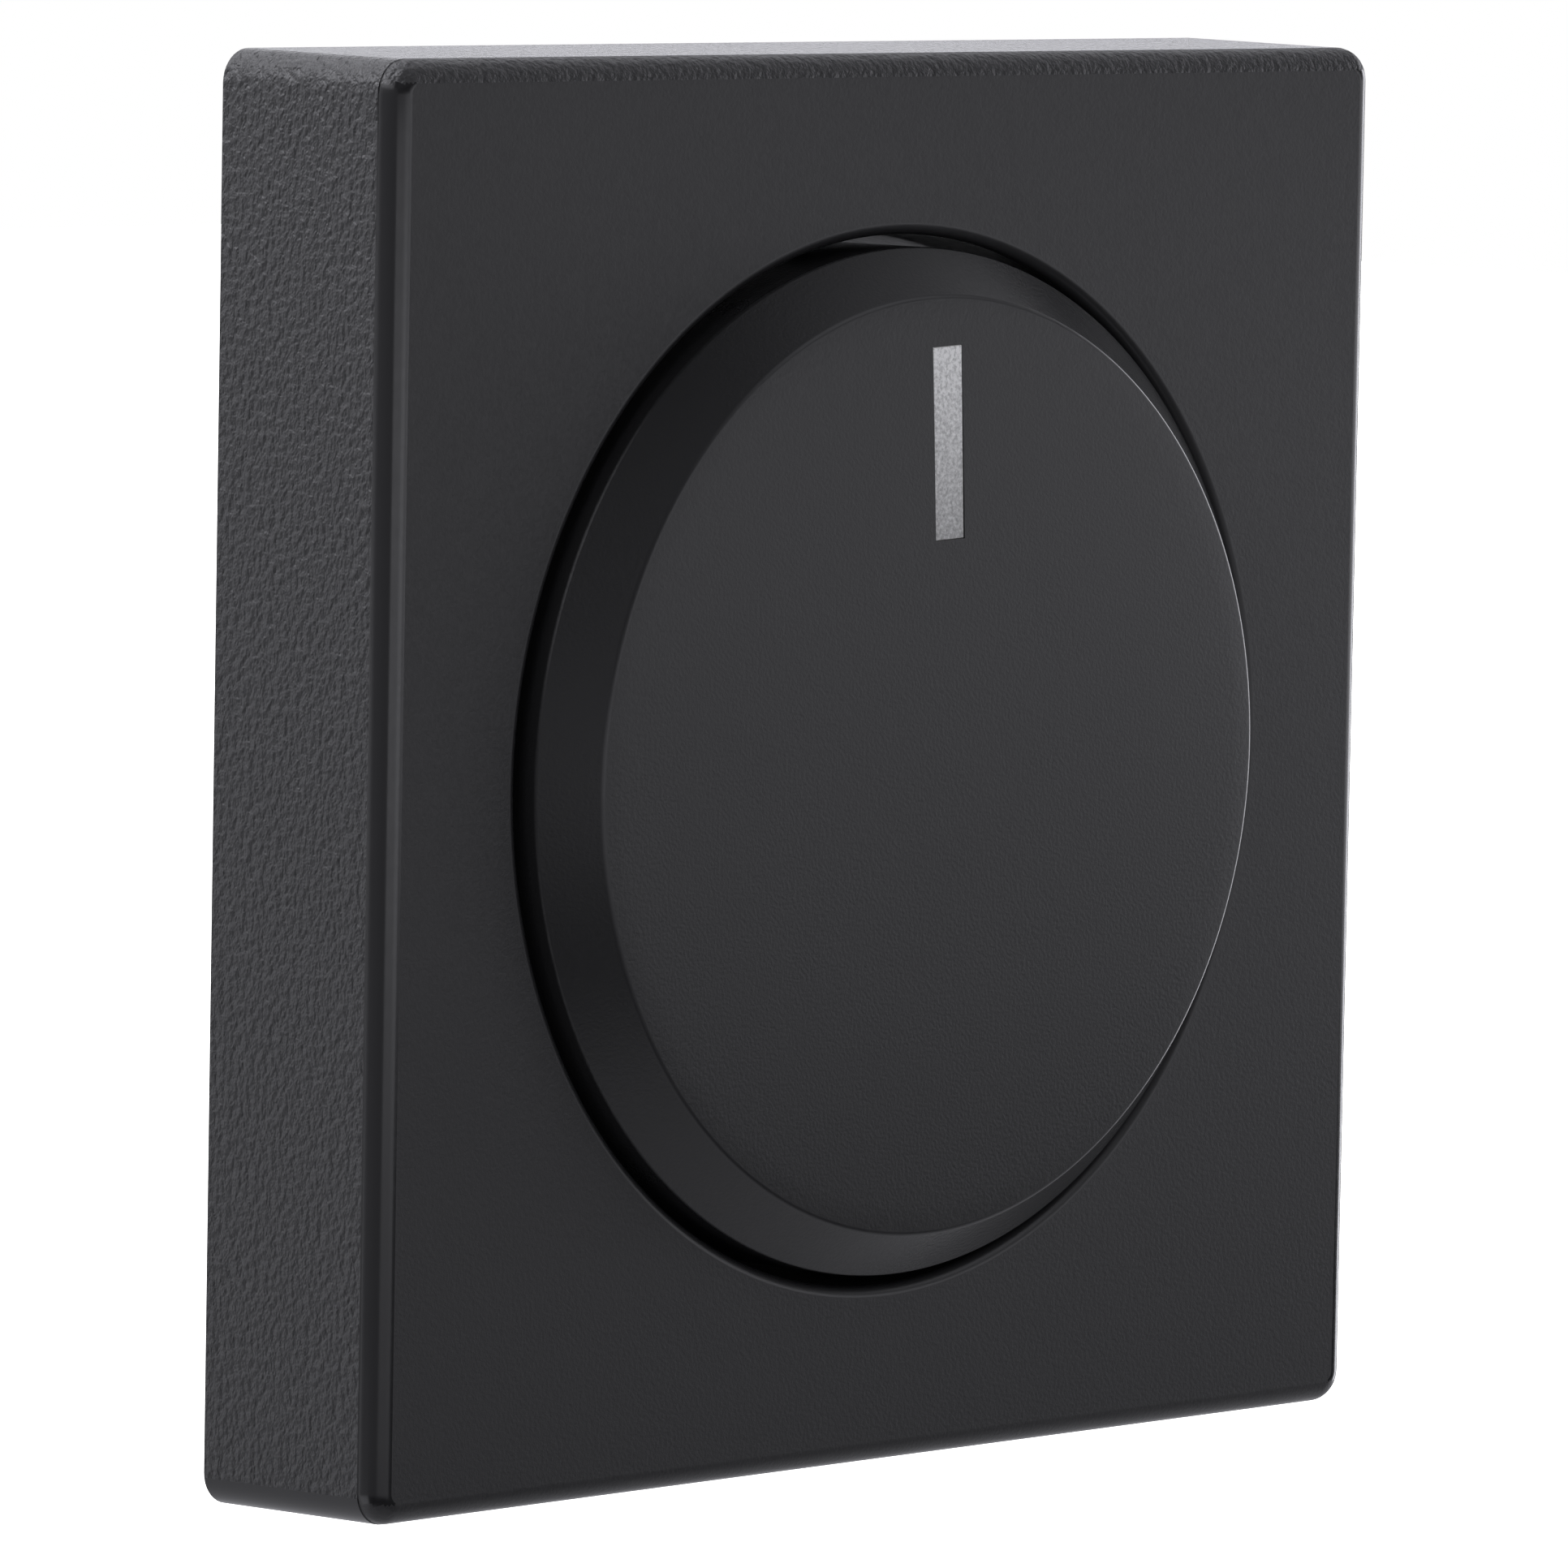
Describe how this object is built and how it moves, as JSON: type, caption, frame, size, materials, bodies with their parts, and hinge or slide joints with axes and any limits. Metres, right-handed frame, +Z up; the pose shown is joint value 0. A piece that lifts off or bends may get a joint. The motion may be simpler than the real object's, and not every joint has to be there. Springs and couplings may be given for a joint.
{
  "type": "rotary dimmer control",
  "caption": "Square matt anthracite wall control with a large push-and-turn knob, lit pointer window and plug-in rear module.",
  "frame": {"origin": "centre of the cover plate's rear rim, on the wall plane and on the knob's axis", "axes": "-Y out of the wall through the knob's face, +Z up, +X to the right seen from the front"},
  "size_m": [0.0554, 0.0226, 0.0554],
  "materials": {
    "anthracite_plastic": "fine matt front, spark-eroded grain on the sides",
    "black_plastic": "satin",
    "grey_plastic": "moulded, satin",
    "frosted_lens": "frosted, translucent",
    "steel": "zinc plated",
    "brass": "turned",
    "tinned_pins": "tinned",
    "circuit_board_green": "solder mask",
    "phenolic_brown": "pressed board",
    "carbon_track": "printed carbon",
    "led_white": "moulded"
  },
  "bodies": {
    "module": {"cover_plate": "anthracite_plastic", "light_ring": "frosted_lens", "potentiometer_can": "steel", "capacitor": "steel", "rear_screw_1": "steel", "rear_screw_2": "steel", "rear_screw_3": "steel", "rear_screw_4": "steel", "plate_screw_1": "steel", "plate_screw_2": "steel", "plate_screw_3": "steel", "plate_screw_4": "steel", "retaining_spring_1": "steel", "retaining_spring_2": "steel", "retaining_spring_3": "steel", "retaining_spring_4": "steel", "shaft_bush": "brass", "connector_header": "black_plastic", "control_chip": "black_plastic", "module_housing": "grey_plastic", "rear_cover": "grey_plastic", "switch_body": "grey_plastic", "potentiometer_terminal_1": "tinned_pins", "potentiometer_terminal_2": "tinned_pins", "potentiometer_terminal_3": "tinned_pins", "connector_pin_1": "tinned_pins", "connector_pin_2": "tinned_pins", "connector_pin_3": "tinned_pins", "connector_pin_4": "tinned_pins", "connector_pin_5": "tinned_pins", "connector_pin_6": "tinned_pins", "circuit_board": "circuit_board_green", "track_board": "phenolic_brown", "resistance_track": "carbon_track", "led_1": "led_white", "led_2": "led_white", "led_3": "led_white", "led_4": "led_white"},
    "rotor": {"wiper_rotor": "black_plastic", "wiper_contact": "brass"},
    "knob": {"knob_cap": "anthracite_plastic", "pointer_lens": "frosted_lens", "hub_tension_ring": "steel", "shaft": "steel", "shaft_clip": "steel"},
    "plunger": {"switch_plunger": "black_plastic"}
  },
  "joints": [
    {"name": "knob_turn", "type": "hinge", "parent": "module", "child": "rotor", "pos_m": [0, 0, 0], "axis": [0, 1, 0], "range_deg": [-135, 135]},
    {"name": "knob_push", "type": "slide", "parent": "rotor", "child": "knob", "axis": [0, 1, 0], "range_m": [0, 0.0008], "stiffness_N_per_m": 1500, "springref_m": -0.0008},
    {"name": "plunger_push", "type": "slide", "parent": "module", "child": "plunger", "axis": [0, 1, 0], "range_m": [0, 0.0008]}
  ],
  "couplings": [
    {"joint": "plunger_push", "follows": "knob_push", "ratio": 1}
  ]
}
